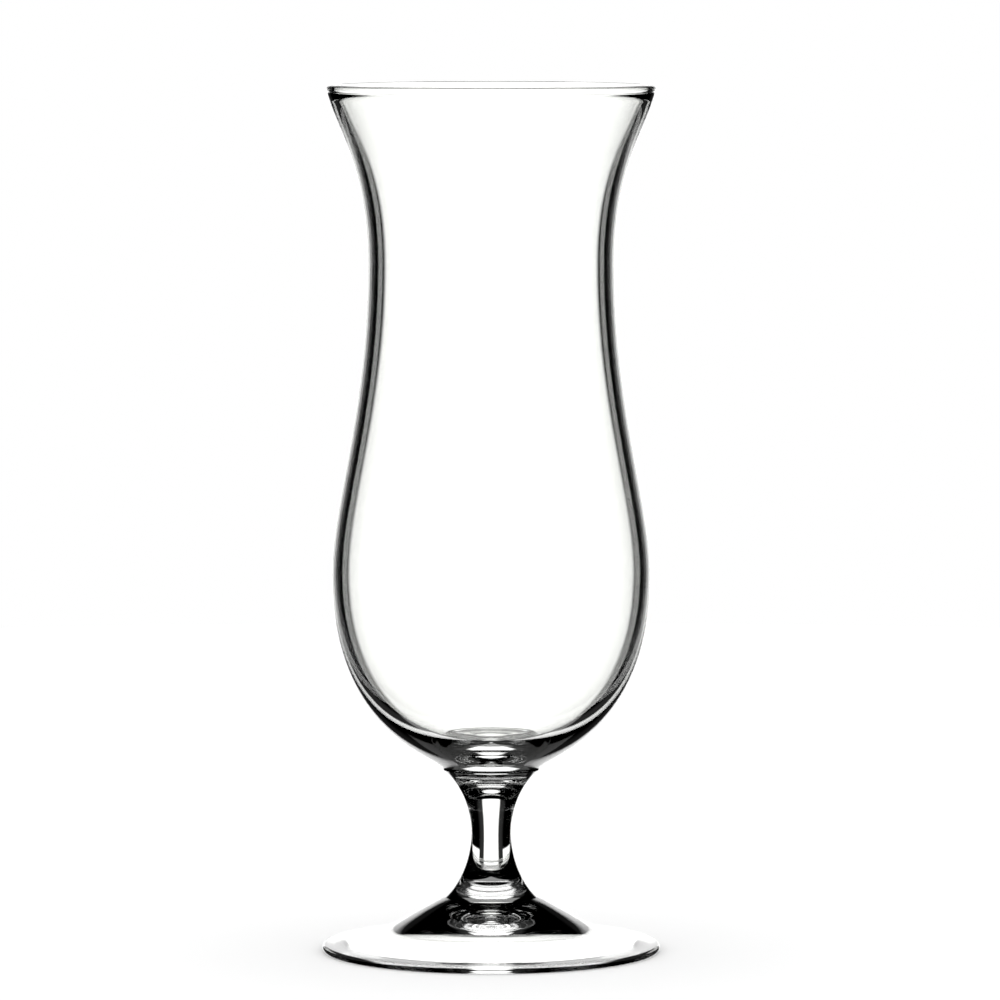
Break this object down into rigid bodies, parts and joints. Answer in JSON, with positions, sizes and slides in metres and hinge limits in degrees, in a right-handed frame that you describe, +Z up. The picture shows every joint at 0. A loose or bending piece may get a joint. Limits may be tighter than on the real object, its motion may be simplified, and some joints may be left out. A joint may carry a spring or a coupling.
{
  "type": "hurricane glass",
  "caption": "Clear hurricane cocktail glass: flared rim with a rounded bead, narrow waist, round belly, short stem and round foot.",
  "frame": {"origin": "centre of the foot's underside at table level, on the glass's axis", "axes": "+Z up along the axis of the glass, +X to the right and -Y towards the picture's viewer"},
  "size_m": [0.0804, 0.0804, 0.206],
  "materials": {
    "bowl_glass": "clear blown glass, fire-polished inside and out",
    "stem_glass": "clear solid glass, fire-polished",
    "foot_glass": "clear pressed glass, fire-polished, with fine wear on the ring that it stands on"
  },
  "bodies": {
    "root": {"bowl": "bowl_glass", "stem": "stem_glass", "foot": "foot_glass"}
  },
  "joints": []
}
